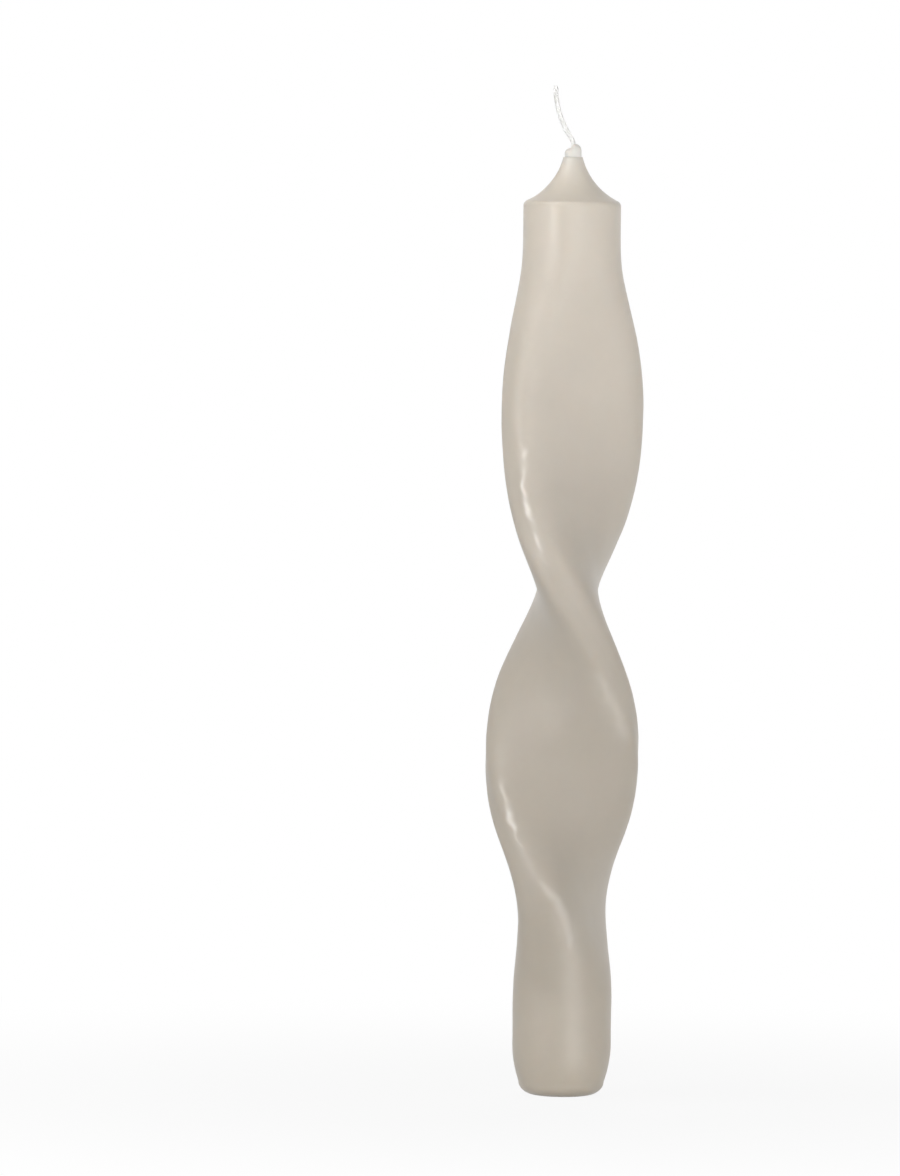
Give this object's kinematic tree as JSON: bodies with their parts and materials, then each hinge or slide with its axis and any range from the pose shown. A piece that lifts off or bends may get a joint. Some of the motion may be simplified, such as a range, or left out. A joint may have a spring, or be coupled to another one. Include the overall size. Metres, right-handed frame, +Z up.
{
  "type": "twisted taper candle",
  "caption": "Taper candle with a round butt, a flattened blade twisted left-handed about its axis, a round collar with a hollow-sided tip, and a cotton wick.",
  "frame": {"origin": "centre of the foot's flat face, on the candle's axis", "axes": "+Z up along the axis towards the wick; the free wick leans towards -X; seen along +Y, the candle stands as in the picture"},
  "size_m": [0.0342, 0.0348, 0.2238],
  "materials": {
    "dyed_wax": "satin",
    "pale_wax": "satin",
    "cotton": "braided, matt"
  },
  "bodies": {
    "root": {"colour_coat": "dyed_wax", "wax_core": "pale_wax", "wick": "cotton"}
  },
  "joints": []
}
